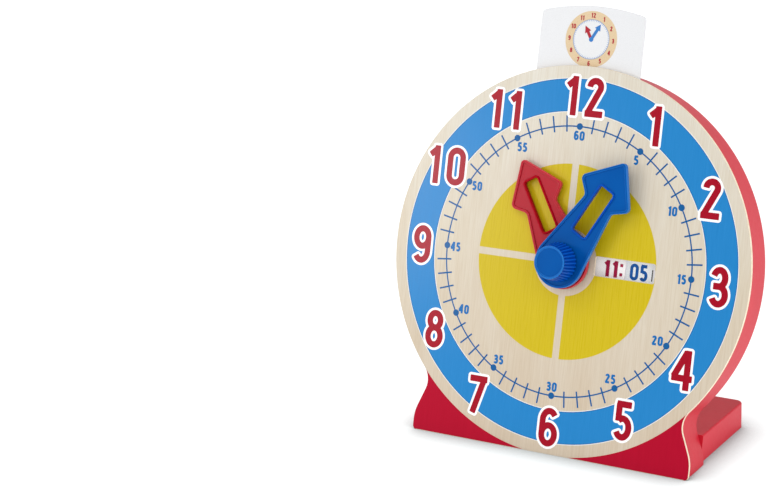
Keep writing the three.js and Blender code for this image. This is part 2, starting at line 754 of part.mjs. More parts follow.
place(dial, 'front_board', frontBoard(), 'birch');
place(dial, 'body', body(), 'redPaint');
place(dial, 'base_screw_left', baseScrew(-SCREW_SPACING), 'steel');
place(dial, 'base_screw_middle', baseScrew(0), 'steel');
place(dial, 'base_screw_right', baseScrew(SCREW_SPACING), 'steel');
place(dial, 'base_dowel_left', baseDowel(-DOWEL_SPACING), 'paleWood');
place(dial, 'base_dowel_right', baseDowel(DOWEL_SPACING), 'paleWood');
place(dial, 'window_lens', windowLens(), 'clear');
place(dial, 'spindle_bush', spindleBush(), 'nylon');
place(dial, 'bush_nut', bushNut(), 'nylon');
place(dial, 'time_card', timeCard(), 'card');

place(hourWork, 'hour_hand', hourHand(), 'redPlastic');
place(hourWork, 'hour_sleeve', hourSleeve(), 'redPlastic');
place(hourWork, 'hour_dial', hourDial(), 'card');
place(
  hourWork,
  'sleeve_ring',
  ring(SLEEVE_RADIUS + SEAT_GAP, RING_RADIUS, RING_BACK, RING_FRONT),
  'steel',
);

place(minuteWork, 'minute_hand', minuteHand(), 'bluePlastic');
place(minuteWork, 'knob', knob(), 'bluePlastic');
place(minuteWork, 'spindle', spindle(), 'bluePlastic');
place(
  minuteWork,
  'hand_spacer',
  ring(SLEEVE_BORE, SPACER_RADIUS, SPACER_BACK, SPACER_FRONT),
  'nylon',
);
place(minuteWork, 'friction_washer', frictionWasher(), 'steel');
place(minuteWork, 'minute_dial', minuteDial(), 'card');
place(
  minuteWork,
  'dial_washer',
  ring(END_SCREW_BORE, WASHER_RADIUS, WASHER_BACK, WASHER_FRONT),
  'steel',
);
place(minuteWork, 'spindle_screw', spindleScrew(), 'steel');

export default clock;
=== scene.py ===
import json
import math
from functools import partial

import bmesh
import bpy
from mathutils import Color, Matrix, Vector
from mathutils.geometry import delaunay_2d_cdt


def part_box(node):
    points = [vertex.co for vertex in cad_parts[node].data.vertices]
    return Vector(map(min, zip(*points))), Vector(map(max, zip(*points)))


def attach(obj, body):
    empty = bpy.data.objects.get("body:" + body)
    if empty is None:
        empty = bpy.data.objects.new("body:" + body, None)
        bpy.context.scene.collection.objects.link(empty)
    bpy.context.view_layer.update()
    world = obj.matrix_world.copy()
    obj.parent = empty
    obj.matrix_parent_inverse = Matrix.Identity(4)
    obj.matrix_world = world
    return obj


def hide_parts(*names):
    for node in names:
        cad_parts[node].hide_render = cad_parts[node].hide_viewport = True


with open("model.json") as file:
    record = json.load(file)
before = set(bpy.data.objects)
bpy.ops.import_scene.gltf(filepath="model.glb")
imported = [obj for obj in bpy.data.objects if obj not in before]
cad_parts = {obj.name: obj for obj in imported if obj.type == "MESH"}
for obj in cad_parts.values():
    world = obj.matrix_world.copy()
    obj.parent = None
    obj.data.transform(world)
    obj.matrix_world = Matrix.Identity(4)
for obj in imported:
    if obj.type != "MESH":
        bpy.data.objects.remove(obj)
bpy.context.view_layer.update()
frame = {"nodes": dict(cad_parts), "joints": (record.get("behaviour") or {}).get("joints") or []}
scene = bpy.context.scene

# Metres. Outlines and levels are in the dial's own frame, with its origin on the face at the
# middle of the dial: x points right, y up the face and z towards the reader.

# Fineness
CHORD_ERROR = 0.00001  # how far a facet may lie inside its arc
INK_CHORD_ERROR = 0.00002
SAME_POINT = 0.0000001
OVERRUN = 0.005  # how far a cutter runs past the piece it cuts
SHARP_ANGLE = math.radians(40)
BOW_STEP = 8  # degrees from point to point of an oval stroke
FLAT_WEIGHT = 100  # how strongly large flat faces keep their own normals
QUARTER = math.pi / 2
TURN = 2 * math.pi

# Dial board and body
DISC_RADIUS = 0.146
BASE_DROP = 0.1452  # from the middle of the dial down the face to the floor line
BOARD_BACK = -0.003
BOARD_EDGE = 0.0004
PAINTED_TILTS = (0.3, 0.999)  # how far forward the painted facets of that edge face
BODY_FRONT = -0.0033
BODY_BACK = -0.0325
BODY_INSET = 0.0015  # how far the body's sides stay in from the board's
BODY_EDGE = 0.001
STAND_HALF_WIDTH = 0.1152
STAND_CORNER = 0.003
SHOULDER_RADIUS = 0.0306
SHOULDER_HEIGHT = 0.0137
FLARE = math.radians(22.4)
NECK_FILLET = 0.0162
POCKET_RADIUS = 0.075
POCKET_FLOOR = -0.015

# Foot
FOOT_CORNER = 0.006
FOOT_EDGE = 0.0015
FOOT_GAP = 0.0003

# Window and pane
WINDOW_START = 0.024
WINDOW_LENGTH = 0.0485
WINDOW_HALF_HEIGHT = 0.0072
WINDOW_CORNER = 0.0015
PANE_THICKNESS = 0.001
PANE_MARGIN = 0.002
PANE_EDGE = 0.0002
SEAT_GAP = 0.0003
BUSH_HOLE_RADIUS = 0.0075
HOUR_DIAL_FRONT = -0.005  # faces of the number dials behind the window
MINUTE_DIAL_FRONT = -0.0087

# Time card and its slot
CARD_HALF_WIDTH = 0.0424
CARD_BOTTOM = 0.1185
CARD_TOP = 0.1905
CARD_CROWN = 0.0055
CARD_CORNER = 0.004
CARD_FRONT = -0.0034
CARD_BACK = -0.0046
CARD_EDGE = 0.0002
SLOT_HALF_WIDTH = 0.0434
SLOT_FLOOR = 0.1182
SLOT_BACK = -0.005

# Sizes of the red hand and of the blue one. Lengths run from the spindle, and reaches go to
# one side of the middle line.
HAND_SIZES = {
    "back": (0.0018, 0.0079),
    "thickness": (0.004, 0.0041),
    "hub_radius": (0.0203, 0.0195),
    "taper": (math.radians(9.8), math.radians(7.6)),
    "waist_at": (0.045, 0.053),
    "waist_fillet": (0.004, 0.004),
    "barb_at": (0.0542, 0.0625),
    "barb_reach": (0.0234, 0.024),
    "barb_round": (0.004, 0.004),
    "tip_at": (0.0845, 0.091),
    "tip_round": (0.003, 0.003),
    "slot_start": (0.0258, 0.0263),
    "slot_end": (0.0665, 0.0657),
    "slot_half_width": (0.0056, 0.0062),
    "slot_corner": (0.0018, 0.0018),
    "bore": (0.0058, 0.0036),
}
RED_HAND, BLUE_HAND = [dict(zip(HAND_SIZES, column)) for column in zip(*HAND_SIZES.values())]
HAND_EDGE = 0.0006
RIM_WIDTH = 0.0019
RIM_ROUND = 0.00035
FRAME_WIDTH = 0.0015
WEB_DROP = 0.0011
WEB_FILLET = 0.0003
WALL_TILT = 0.3  # a facet that faces less far forward than this is wall,
FLAT_TILT = 0.97  # and one that faces less far than this is edge
SHOWN_HOUR_SHARE = 11 / 12
SHOWN_MINUTE_SHARE = 5 / 60

# Knob
KNOB_BACK = 0.0123
KNOB_FRONT = 0.028
KNOB_BASE_RADIUS = 0.015
KNOB_TOP_RADIUS = 0.0123
KNOB_BASE_ROUND = 0.0005
KNOB_RIM = 0.0013
KNOB_DISH = 0.0005
KNOB_SOCKET_RADIUS = 0.0036
KNOB_SOCKET_TOP = 0.0223
KNOB_RIBS = 32
RIB_STEPS = 12
RIB_DEPTH = 0.0011
CREST_SHARE = 0.88  # of a rib's height, from which it counts as crest

# Numbers of a piece's materials: flat faces, walls, rounded edges and crests of ribs. On the hands
# and knob, the wall material is a painted shade, and the edge and crest materials are painted
# highlights.
FACE, WALL, EDGE, CREST_PAINTED_HIGHLIGHT = range(4)

# Levels of the inks. Each lies a little prouder than the one that it is printed over.
INK_ROOT = -0.00004
RING_INK = 0.00003
LINE_INK = 0.00005
BORDER_INK = 0.00007
NUMERAL_INK = 0.0001

# Print on the board
BLUE_INNER = 0.1119
BLUE_OUTER = 0.1363
PALE_LINE = 0.0005
DARK_LINE = 0.0005
YELLOW_INNER = 0.0255
YELLOW_OUTER = 0.0731
YELLOW_GAP = 0.0027  # half of the cross between the quarters
YELLOW_WINDOW_GAP = 0.0002
TRACK_RADIUS = 0.101
TRACK_WIDTH = 0.00105
TICK_START = 0.0968
TICK_END = 0.109
TICK_WIDTH = 0.0012
DOT_RADIUS = 0.0025
HOURS = 12
MINUTES = 60
MINUTE_STEP = 5

# Numerals: outer height, stroke, rounding of its ends, gap between two digits, and the circle
# round the dial on which they stand
HOUR_TEXT = {"height": 0.0293, "stroke": 0.0049, "round": 0.0005, "gap": 0.0069}
HOUR_RADIUS = 0.1241
HOUR_BORDER = 0.0018
MINUTE_TEXT = {"height": 0.0071, "stroke": 0.00165, "round": 0.0001, "gap": 0.0007}
MINUTE_RADIUS = 0.0936
WINDOW_HOUR_TEXT = {"height": 0.0122, "stroke": 0.0029, "round": 0.0001, "gap": 0.0019}
WINDOW_MINUTE_TEXT = {"height": 0.0124, "stroke": 0.0024, "round": 0.0001, "gap": 0.0011}
# From middle to middle of the outer strokes of the digits 0 to 9, in the unit of digit_shares
DIGIT_WIDTHS = (0.88, 0.38, 0.83, 0.82, 0.95, 0.78, 0.87, 0.85, 0.87, 0.87)
WINDOW_HOUR_END = 0.0446  # right end of the hours and their colon
WINDOW_MINUTE_MIDDLE = 0.056
WINDOW_HOUR_DROP = 0.0008
WINDOW_MINUTE_DROP = 0.0011
COLON_GAP = 0.0018
COLON_SIZE = 0.0023
COLON_SPREAD = 0.0068
WINDOW_TICK_RADIUS = 0.0668  # short line outside each number of the minutes
WINDOW_TICK_HALF_HEIGHT = 0.0043
WINDOW_TICK_WIDTH = 0.0009
WINDOW_TICK_DROP = 0.002

# How far the numbers are printed from their even places, x and y, from one o'clock round
SHIFT_UNIT = 0.0001
HOUR_SHIFTS = [
    (-27, -5), (21, -26), (-13, -27), (-56, -39), (-19, -27), (5, -7),
    (2, -26), (29, -34), (9, -19), (-11, -14), (-12, 7), (16, -8),
]
MINUTE_SHIFTS = [
    (12, -2), (-3, 3), (0, -9), (-10, -9), (-5, 0), (-5, -7),
    (-2, 3), (-1, -1), (-2, -3), (6, 11), (12, 1), (3, 6),
]

# Small clock that is printed on the card
CARD_CLOCK_HEIGHT = 0.1658
CARD_RING_OUTER = 0.021
CARD_RING_INNER = 0.0146
CARD_TEXT = {"height": 0.0036, "stroke": 0.00085, "round": 0.0001, "gap": 0.0004}
CARD_RADIUS = 0.0178
CARD_TICK_START = 0.0134
CARD_TICK_WIDTH = 0.00025
CARD_TRACK_WIDTH = 0.0003
CARD_HAND_HALF_WIDTH = 0.0012
CARD_HOUR_HAND = {"length": 0.0062, "head": 0.0052, "head_half_width": 0.0027}
CARD_MINUTE_HAND = {"length": 0.0087, "head": 0.0045, "head_half_width": 0.0026}
CARD_PIVOT_RADIUS = 0.0018

# Camera, at the place from which the photograph was taken
CAMERA_PLACE = (0.6853, -1.38173, 0.62496)
CAMERA_AZIMUTH = math.radians(31.781)
CAMERA_ELEVATION = math.radians(17.17)
CAMERA_ROLL = math.radians(2.127)
CAMERA_LENS = 100.04  # millimetres, on a sensor 36 mm wide

# Floor, room and lights
FLOOR_REACH = 40.0
FLOOR_COLOR = (0.22, 0.25, 0.25, 1)
FLOOR_ROUGHNESS = 0.9
FLOOR_SHADE_REACH = 0.03  # how near a piece is when it shades the floor
FLOOR_SHADE_SAMPLES = 8
# The floor's own light by how open it lies, which paints a shade close to the pieces, and the
# room's from front to back
FLOOR_GLOW = {"From_Min": 0.45, "To_Min": 0.12, "To_Max": 0.94}
ROOM_GLOW = {"From_Min": -0.6, "From_Max": 0.6, "To_Min": 0.3, "To_Max": 0.7}
LAMP_AIM = (0, 0, 0.12)
# Kind, place, size (of a near light in metres, of a far one in degrees) and power
LIGHTS = {
    "key": ("AREA", (-1.15, -0.95, 0.85), 1.2, 4.7),
    "sheen": ("AREA", (-0.83, -1.13, 0.41), 0.32, 2.05),
    "top": ("SUN", (-0.2, -0.8, 1.4), 45, 0.62),
    "fill": ("SUN", (0.9, -1.3, 0.8), 60, 0.7),
    "side": ("SUN", (1.5, 0.15, 0.5), 40, 0.8),
    "spark": ("SUN", (-0.7, -0.9, 1.4), 6, 0.14),
}

# Colours are those of a screen, and stretches draw a noise out along each axis of a piece.
SCREEN_MAXIMUM = 255
WHITE = (255, 255, 255)
BLUE_TINT = (120, 190, 255)
GRAIN_SCALE = 1100
GRAIN_STRETCH = (1, 0.03, 1)

# The dial's frame, from the joint on which the hands turn
hour_joint = next(joint for joint in frame["joints"] if joint["name"] == "hour_turn")
towards_reader = -Vector(hour_joint["axis"])
rightwards = Vector((1, 0, 0))
up_face = towards_reader.cross(rightwards)
DIAL = Matrix.Translation(Vector(hour_joint["pos_m"])) @ Matrix(
    (rightwards, up_face, towards_reader)
).transposed().to_4x4()
WORKS = {
    "hour_works": DIAL @ Matrix.Rotation(-TURN * SHOWN_HOUR_SHARE, 4, "Z"),
    "minute_works": DIAL @ Matrix.Rotation(-TURN * SHOWN_MINUTE_SHARE, 4, "Z"),
}


def arc(x, y, radius, start, end, error=CHORD_ERROR):
    """Points of an arc, close enough together to keep each facet within the error."""
    step = 2 * math.acos(max(1 - error / radius, 0))
    count = max(1, math.ceil(abs(end - start) / step))
    angles = [start + (end - start) * i / count for i in range(count + 1)]
    return [Vector((x + radius * math.cos(a), y + radius * math.sin(a))) for a in angles]


def circle(radius, x=0.0, y=0.0, error=CHORD_ERROR):
    return distinct(arc(x, y, radius, 0, TURN, error))


def distinct(loop):
    """Drops points that repeat, also where a loop closes on its start."""
    return [point for i, point in enumerate(loop) if (point - loop[i - 1]).length > SAME_POINT]


def mirrored(half):
    """The right half of an outline, from the bottom up, becomes a whole one."""
    return distinct(half + [Vector((-point.x, point.y)) for point in reversed(half)])


def rounded(corners):
    """Loop through corners, each an x, a y and the radius of its rounding."""
    loop = []
    for i, (x, y, radius) in enumerate(corners):
        here = Vector((x, y))
        before = Vector(corners[i - 1][:2])
        after = Vector(corners[(i + 1) % len(corners)][:2])
        arrive = (here - before).normalized()
        leave = (after - here).normalized()
        turn = math.atan2(arrive.cross(leave), arrive.dot(leave))
        setback = radius * math.tan(abs(turn) / 2)
        side = Vector((-arrive.y, arrive.x)) * math.copysign(1, turn)
        centre = here - arrive * setback + side * radius
        start = math.atan2(-side.y, -side.x)
        loop += arc(centre.x, centre.y, radius, start, start + turn)
    return distinct(loop)


def rectangle(left, right, bottom, top, radius):
    corners = [(right, bottom), (right, top), (left, top), (left, bottom)]
    return rounded([(x, y, radius) for x, y in corners])


def shrunk(loop, distance):
    """The loop moved inwards by a distance, or outwards if that is negative."""
    moved = []
    for i, here in enumerate(loop):
        arrive = (here - loop[i - 1]).normalized()
        leave = (loop[(i + 1) % len(loop)] - here).normalized()
        inward = Vector((-arrive.y - leave.y, arrive.x + leave.x))
        moved.append(here + inward * distance / (1 + arrive.dot(leave)))
    return moved


def softened(back, front, edge):
    """Profile of a plate's side, as steps of how far in and how high, with both edges round."""
    return [
        *arc(edge, back + edge, edge, 3 * QUARTER, 2 * QUARTER),
        *arc(edge, front - edge, edge, 2 * QUARTER, QUARTER),
    ]


def upright(back, front):
    return [Vector((0, back)), Vector((0, front))]


def encloses(loop, point):
    """Whether a point lies inside a loop"""
    inside = False
    for i, end in enumerate(loop):
        start = loop[i - 1]
        if (start.y > point.y) != (end.y > point.y):
            share = (point.y - start.y) / (end.y - start.y)
            if start.x + share * (end.x - start.x) > point.x:
                inside = not inside
    return inside


def triangulated(loops):
    """Triangles over flat loops: points, triangles, and where points and triangles come from"""
    points = []
    faces = []
    for loop in loops:
        faces.append(range(len(points), len(points) + len(loop)))
        points += loop
    corners, _, triangles, origins, _, sources = delaunay_2d_cdt(points, [], faces, 0, SAME_POINT)
    return corners, triangles, origins, sources


def region(cells, holes=()):
    """The union of flat cells less some holes, as points and triangles"""
    loops = [*cells, *holes]
    corners, triangles, _, _ = triangulated(loops)
    boxes = []
    for loop in loops:
        xs, ys = zip(*loop)
        boxes.append((min(xs), max(xs), min(ys), max(ys)))

    def covered(x, y, numbers):
        for number in numbers:
            left, right, low, high = boxes[number]
            if left < x < right and low < y < high and encloses(loops[number], Vector((x, y))):
                return True
        return False

    kept = []
    for triangle in triangles:
        x = sum(corners[i].x for i in triangle) / 3
        y = sum(corners[i].y for i in triangle) / 3
        inside = covered(x, y, range(len(cells)))
        if inside and not covered(x, y, range(len(cells), len(loops))):
            kept.append(triangle)
    return corners, kept


def plate(sides):
    """Closed plate. Each side is a loop with its profile, first the outline, then the holes."""
    verts = []
    faces = []
    ends = {0: [], -1: []}
    ids = {0: [], -1: []}
    for number, (loop, profile) in enumerate(sides):
        size = len(loop)
        first = len(verts)
        for inset, level in profile:
            ring = shrunk(loop, inset if number == 0 else -inset)
            verts += [(point.x, point.y, level) for point in ring]
        for k in range(len(profile) - 1):
            for i in range(size):
                here = first + k * size + i
                beside = first + k * size + (i + 1) % size
                face = (here, beside, beside + size, here + size)
                faces.append(face if number == 0 else face[::-1])
        for end in ends:
            start = first if end == 0 else first + (len(profile) - 1) * size
            ids[end] += range(start, start + size)
            ends[end].append([Vector(verts[i][:2]) for i in range(start, start + size)])
    for end, loops in ends.items():
        faces += cap(loops, ids[end], end == 0)
    return verts, faces


def cap(loops, ids, flipped):
    """Triangles inside the first loop and outside the others, on a plate's own vertices"""
    _, triangles, origins, sources = triangulated(loops)
    faces = []
    for triangle, source in zip(triangles, sources):
        if source and max(source) == 0:
            face = [ids[origins[i][0]] for i in triangle]
            faces.append(face[::-1] if flipped else face)
    return faces


def revolved(rings):
    """A skin over rings of points that match one for one"""
    size = len(rings[0])
    verts = [point for ring in rings for point in ring]
    faces = []
    for r in range(len(rings) - 1):
        for i in range(size):
            here = r * size + i
            beside = r * size + (i + 1) % size
            faces.append((here, beside, beside + size, here + size))
    return verts, faces


def mesh_of(name, shape):
    verts, faces = shape
    mesh = bpy.data.meshes.new(name)
    mesh.from_pydata(verts, [], faces)
    return mesh


def new_object(name, data):
    made = bpy.data.objects.new(name, data)
    scene.collection.objects.link(made)
    return made


def make_piece(name, shape, looks, body, place=DIAL, replaces=(), choose=None):
    """A smooth mesh on a CAD body, with merged seams. Its faces can choose among its looks."""
    mesh = mesh_of(name, shape)
    weld = bmesh.new()
    weld.from_mesh(mesh)
    bmesh.ops.remove_doubles(weld, verts=weld.verts, dist=SAME_POINT)
    bmesh.ops.dissolve_degenerate(weld, dist=SAME_POINT, edges=weld.edges)
    weld.to_mesh(mesh)
    weld.free()
    for look in looks:
        mesh.materials.append(finishes[look])
    if choose:
        for polygon in mesh.polygons:
            polygon.material_index = choose(polygon)
    piece = new_object(name, mesh)
    piece.matrix_world = place
    shade(piece)
    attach(piece, body)
    if replaces:
        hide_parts(*replaces)


def shade(piece):
    """Smooth faces between sharp edges, with the large flat faces kept flat."""
    mesh = piece.data
    mesh.polygons.foreach_set("use_smooth", [True] * len(mesh.polygons))
    mesh.set_sharp_from_angle(angle=SHARP_ANGLE)
    flat = piece.modifiers.new("flat", "WEIGHTED_NORMAL")
    flat.keep_sharp = True
    flat.weight = FLAT_WEIGHT


def carved(shape, *cutters):
    """A shape less other shapes."""
    base, *tools = [new_object("tool", mesh_of("tool", solid)) for solid in (shape, *cutters)]
    for tool in tools:
        cut = base.modifiers.new("cut", "BOOLEAN")
        cut.operation = "DIFFERENCE"
        cut.solver = "EXACT"
        cut.object = tool
    bpy.context.view_layer.update()
    result = base.evaluated_get(bpy.context.evaluated_depsgraph_get()).to_mesh()
    verts = [vertex.co.copy() for vertex in result.vertices]
    faces = [tuple(polygon.vertices) for polygon in result.polygons]
    for extra in [base, *tools]:
        bpy.data.objects.remove(extra)
    return verts, faces


def sliced(shape, point, away):
    """A shape without what lies beyond a plane, closed again there."""
    solid = bmesh.new()
    solid.from_mesh(mesh_of("sliced", shape))
    bmesh.ops.bisect_plane(
        solid,
        geom=[*solid.verts, *solid.edges, *solid.faces],
        plane_co=point,
        plane_no=away,
        clear_outer=True,
    )
    bmesh.ops.holes_fill(solid, edges=[edge for edge in solid.edges if edge.is_boundary])
    solid.verts.index_update()
    verts = [vertex.co.copy() for vertex in solid.verts]
    faces = [tuple(vertex.index for vertex in face.verts) for face in solid.faces]
    solid.free()
    return verts, faces


def above_floor(shape):
    """A shape of the dial's frame, cut off where it would go through the floor."""
    to_dial = DIAL.inverted()
    return sliced(shape, to_dial @ Vector((0, 0, 0)), to_dial.to_3x3() @ Vector((0, 0, -1)))


# Outlines


def face_outline():
    """The board's outline: the disc, its necks and the flared stand"""
    shoulder = Vector((STAND_HALF_WIDTH, SHOULDER_HEIGHT - BASE_DROP))
    across = Vector((math.cos(FLARE), math.sin(FLARE)))
    down = Vector((math.sin(FLARE), -math.cos(FLARE)))
    offset = shoulder.dot(across) + NECK_FILLET
    drop = math.sqrt((DISC_RADIUS + NECK_FILLET) ** 2 - offset ** 2)
    neck = across * offset + down * drop
    joint = math.atan2(neck.y, neck.x)
    setback = SHOULDER_RADIUS * math.tan(FLARE / 2)
    foot = Vector((STAND_HALF_WIDTH - STAND_CORNER, STAND_CORNER - BASE_DROP))
    shoulder_middle = shoulder - Vector((SHOULDER_RADIUS, setback))
    return mirrored([
        *arc(foot.x, foot.y, STAND_CORNER, -QUARTER, 0),
        *arc(shoulder_middle.x, shoulder_middle.y, SHOULDER_RADIUS, 0, FLARE),
        *arc(neck.x, neck.y, NECK_FILLET, 2 * QUARTER + FLARE, 2 * QUARTER + joint),
        *arc(0, 0, DISC_RADIUS, joint, QUARTER),
    ])


def window_outline(margin=0.0):
    return rectangle(
        WINDOW_START - margin,
        WINDOW_START + WINDOW_LENGTH + margin,
        -WINDOW_HALF_HEIGHT - margin,
        WINDOW_HALF_HEIGHT + margin,
        WINDOW_CORNER + margin,
    )


def card_outline():
    """The card's top is an arc, with its corners rounded into it."""
    crown_radius = (CARD_HALF_WIDTH ** 2 + CARD_CROWN ** 2) / (2 * CARD_CROWN)
    crown_middle = CARD_TOP - crown_radius
    side = CARD_HALF_WIDTH - CARD_CORNER
    rise = math.sqrt((crown_radius - CARD_CORNER) ** 2 - side ** 2)
    turn = math.atan2(rise, side)
    return mirrored([
        *arc(side, CARD_BOTTOM + CARD_CORNER, CARD_CORNER, -QUARTER, 0),
        *arc(side, crown_middle + rise, CARD_CORNER, 0, turn),
        *arc(0, crown_middle, crown_radius, turn, QUARTER),
    ])


def hand_outline(sizes):
    """Hub, tapering sides, hollow waist, two barbs and the tip"""

    def side_at(along):
        return (hub - along * math.sin(sizes["taper"])) / math.cos(sizes["taper"])

    hub = sizes["hub_radius"]
    right = [
        (side_at(-hub), -hub, hub),
        (side_at(sizes["waist_at"]), sizes["waist_at"], sizes["waist_fillet"]),
        (sizes["barb_reach"], sizes["barb_at"], sizes["barb_round"]),
    ]
    left = [(-x, y, radius) for x, y, radius in reversed(right)]
    return rounded([*right, (0, sizes["tip_at"], sizes["tip_round"]), *left])


# Shapes of the pieces


def front_board():
    board = plate([
        (face_outline(), softened(BOARD_BACK, 0, BOARD_EDGE)),
        (window_outline(), upright(BOARD_BACK, 0)),
        (circle(BUSH_HOLE_RADIUS), upright(BOARD_BACK, 0)),
    ])
    rebate_floor = BOARD_BACK + PANE_THICKNESS + SEAT_GAP
    rebate = window_outline(PANE_MARGIN + SEAT_GAP)
    cutter = plate([(rebate, upright(BOARD_BACK - OVERRUN, rebate_floor))])
    return carved(above_floor(board), cutter)


def board_finish(polygon):
    """A board face's material: its cut edge is wall, and the stand's paint runs over its edge."""
    front_edge = PAINTED_TILTS[0] < polygon.normal.z < PAINTED_TILTS[1]
    if front_edge and polygon.center.xy.length > DISC_RADIUS:
        return EDGE
    return WALL if abs(polygon.normal.z) < math.cos(SHARP_ANGLE) else FACE


def pane():
    profile = softened(BOARD_BACK, BOARD_BACK + PANE_THICKNESS, PANE_EDGE)
    return plate([(window_outline(PANE_MARGIN), profile)])


def card():
    return plate([(card_outline(), softened(CARD_BACK, CARD_FRONT, CARD_EDGE))])


def body():
    outline = shrunk(face_outline(), BODY_INSET)
    blank = plate([(outline, softened(BODY_BACK, BODY_FRONT, BODY_EDGE))])
    pocket = plate([(circle(POCKET_RADIUS), upright(POCKET_FLOOR, BODY_FRONT + OVERRUN))])
    slot_top = Vector((0, DISC_RADIUS + OVERRUN))
    slot_side = bar_cell(Vector((0, SLOT_FLOOR)), slot_top, SLOT_HALF_WIDTH)
    slot = plate([(slot_side, upright(SLOT_BACK, BODY_FRONT + OVERRUN))])
    return carved(above_floor(blank), pocket, slot)


def base_board():
    """Lies flat on the floor, with its front cut to the lean of the body's back."""
    low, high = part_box("base_board")
    outline = rectangle(low.x, high.x, low.y - OVERRUN, high.y, FOOT_CORNER)
    profile = [
        Vector((0, low.z)),
        *arc(FOOT_EDGE, high.z - FOOT_EDGE, FOOT_EDGE, 2 * QUARTER, QUARTER),
    ]
    point = DIAL @ Vector((0, 0, BODY_BACK - FOOT_GAP))
    return sliced(plate([(outline, profile)]), point, towards_reader)


def hand(sizes):
    """Moulded blade: its face lies below a rim round the edge and a frame round the slot."""
    back = sizes["back"]
    front = back + sizes["thickness"]
    web = front - WEB_DROP
    half = sizes["slot_half_width"]
    slot = rectangle(-half, half, sizes["slot_start"], sizes["slot_end"], sizes["slot_corner"])
    return plate([
        (hand_outline(sizes), raised_side(back, front, web, RIM_WIDTH)),
        (slot, raised_side(back, front, web, FRAME_WIDTH)),
        (circle(sizes["bore"]), upright(back, web)),
    ])


def hand_finish(sizes, polygon):
    """A hand face's material. The frame round the slot is wall, and so are the steps inside. Walls
    get painted shade, and rounded edges and outer sides get painted highlights.
    """
    tilt = abs(polygon.normal.z)
    front = sizes["back"] + sizes["thickness"]
    if on_frame(sizes, polygon):
        return WALL
    if WALL_TILT < tilt < FLAT_TILT and polygon.center.z > front - HAND_EDGE:
        return EDGE
    if tilt < WALL_TILT:
        return EDGE if polygon.center.z < front - WEB_DROP else WALL
    return FACE


def on_frame(sizes, polygon):
    """Whether a face of a hand belongs to the frame round its slot"""
    reach = FRAME_WIDTH + WEB_FILLET
    for number in polygon.vertices:
        x, y, _ = polygon.id_data.vertices[number].co
        if abs(x) > sizes["slot_half_width"] + reach:
            return False
        if not sizes["slot_start"] - reach < y < sizes["slot_end"] + reach:
            return False
    return True


def raised_side(back, front, web, width):
    """Profile of a side with a rim of the given width above the web"""
    inner = width - RIM_ROUND
    return [
        *softened(back, front, HAND_EDGE),
        *arc(inner, front - RIM_ROUND, RIM_ROUND, QUARTER, 0),
        *arc(width + WEB_FILLET, web + WEB_FILLET, WEB_FILLET, 2 * QUARTER, 3 * QUARTER),
    ]


def ribbed_ring(radius, level, depth):
    """One ring of the knob's side, with round ribs and sharp grooves of the given depth"""
    count = KNOB_RIBS * RIB_STEPS
    ring = []
    for i in range(count):
        angle = TURN * i / count
        reach = radius - depth * (1 - abs(math.cos(KNOB_RIBS * angle / 2)))
        ring.append(Vector((reach * math.cos(angle), reach * math.sin(angle), level)))
    return ring


def knob_finish(polygon):
    """A knob face's material. Between the crests of its ribs it is wall, a painted shade. The
    crests and the rounded rim get painted highlights.
    """
    if polygon.center.z > KNOB_FRONT - KNOB_RIM:
        return EDGE if WALL_TILT < polygon.normal.z < FLAT_TILT else FACE
    angle = math.atan2(polygon.center.y, polygon.center.x)
    return CREST_PAINTED_HIGHLIGHT if abs(math.cos(KNOB_RIBS * angle / 2)) > CREST_SHARE else WALL


def knob():
    """Rings from inside the socket round to the dished front"""
    rim_level = KNOB_FRONT - KNOB_RIM / 2
    round_top = arc(KNOB_TOP_RADIUS - KNOB_RIM / 2, rim_level, KNOB_RIM / 2, 0, 2 * QUARTER)
    dish = KNOB_TOP_RADIUS - KNOB_RIM - KNOB_DISH
    rings = [
        (0, KNOB_SOCKET_TOP, 0),
        (KNOB_SOCKET_RADIUS, KNOB_SOCKET_TOP, 0),
        (KNOB_SOCKET_RADIUS, KNOB_BACK, 0),
        (KNOB_BASE_RADIUS - KNOB_BASE_ROUND, KNOB_BACK, RIB_DEPTH),
        (KNOB_BASE_RADIUS, KNOB_BACK + KNOB_BASE_ROUND, RIB_DEPTH),
        (KNOB_TOP_RADIUS, KNOB_FRONT - KNOB_RIM, RIB_DEPTH),
        *[(point.x, point.y, 0) for point in round_top],
        (dish, rim_level - KNOB_DISH, 0),
        (0, rim_level - KNOB_DISH, 0),
    ]
    return revolved([ribbed_ring(*ring) for ring in rings])


# Inks. A cell is a flat loop that runs anticlockwise, and cells may overlap.


def ink(placed_regions, level):
    """Closed thin plates over flat regions, each with its own place on the face."""
    verts = []
    faces = []
    for (corners, triangles), place in placed_regions:
        first = len(verts)
        size = len(corners)
        for height in (INK_ROOT, level):
            verts += [place @ Vector((point.x, point.y, height)) for point in corners]
        sides = {}
        for triangle in triangles:
            faces.append([first + size + i for i in triangle])
            faces.append([first + i for i in reversed(triangle)])
            for i, start in enumerate(triangle):
                end = triangle[(i + 1) % len(triangle)]
                sides[start, end] = True
        for start, end in sides:
            if (end, start) not in sides:
                faces.append([
                    first + start, first + end, first + size + end, first + size + start,
                ])
    return verts, faces


def printed(cells, level, holes=()):
    """Ink over one flat region"""
    return ink([(region(cells, holes), Matrix())], level)


def ring_cells(inner, outer):
    outside = circle(outer, error=INK_CHORD_ERROR)
    inside = [point * inner / outer for point in outside]
    return [[inside[i - 1], outside[i - 1], outside[i], inside[i]] for i in range(len(outside))]


def bar_cell(start, end, half):
    along = (end - start).normalized()
    side = Vector((-along.y, along.x)) * half
    return [start - side, end - side, end + side, start + side]


